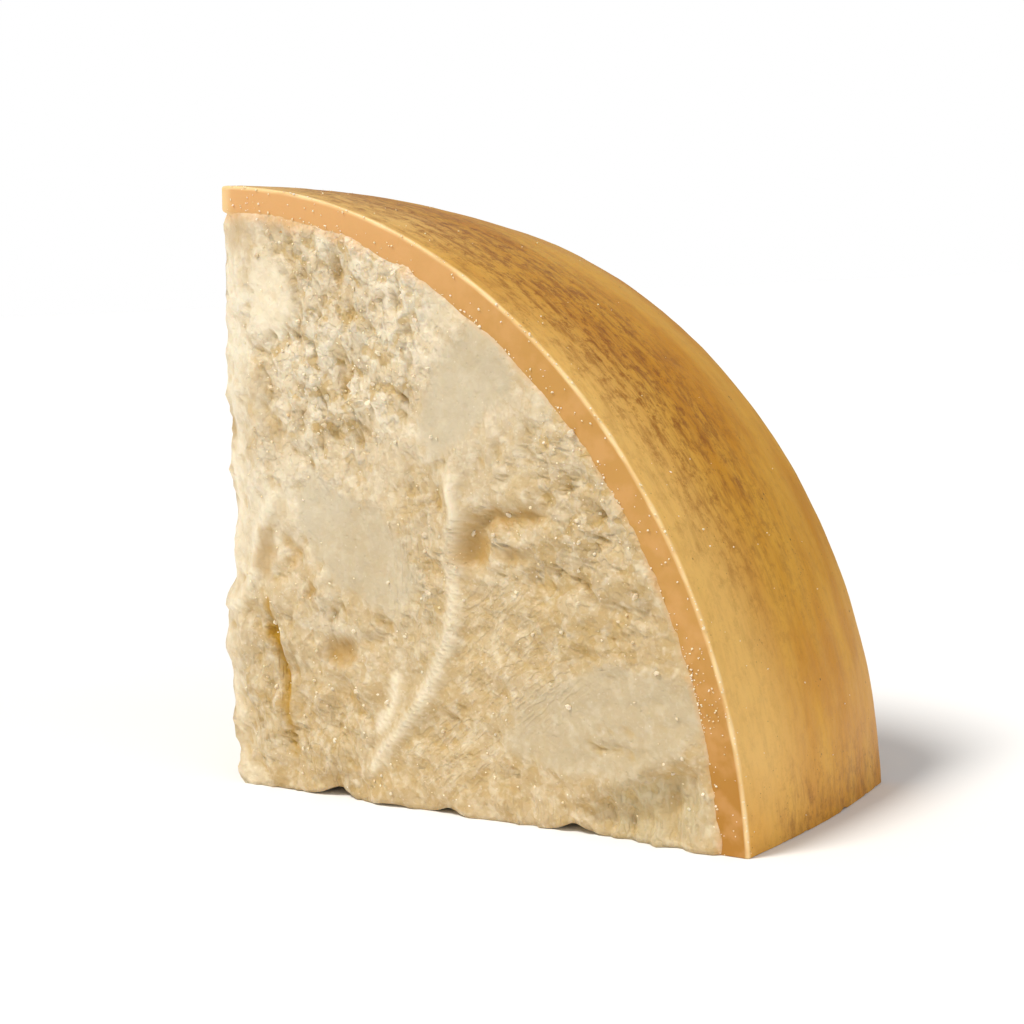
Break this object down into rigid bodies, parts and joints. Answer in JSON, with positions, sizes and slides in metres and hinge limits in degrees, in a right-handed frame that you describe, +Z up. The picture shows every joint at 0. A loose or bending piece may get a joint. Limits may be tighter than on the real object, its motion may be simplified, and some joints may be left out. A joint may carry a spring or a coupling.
{
  "type": "hard cheese chunk",
  "caption": "Chunk of hard grating cheese: a quarter sector of a half-height wheel, with broken crumbly faces and a smooth golden rind.",
  "frame": {"origin": "centre of the bounding box's underside, on the surface it stands on", "axes": "+Z up; the chunk stands on one radial broken face, +Y runs along the wheel's axis from the broken front face to the flat rind at the back, +X from the wheel's axis to the curved rind"},
  "size_m": [0.2292, 0.1188, 0.2195],
  "materials": {
    "paste": "soft satin, crumbly broken paste",
    "rind": "satin, waxy oiled rind"
  },
  "bodies": {
    "root": {"cheese": "paste"}
  },
  "joints": []
}
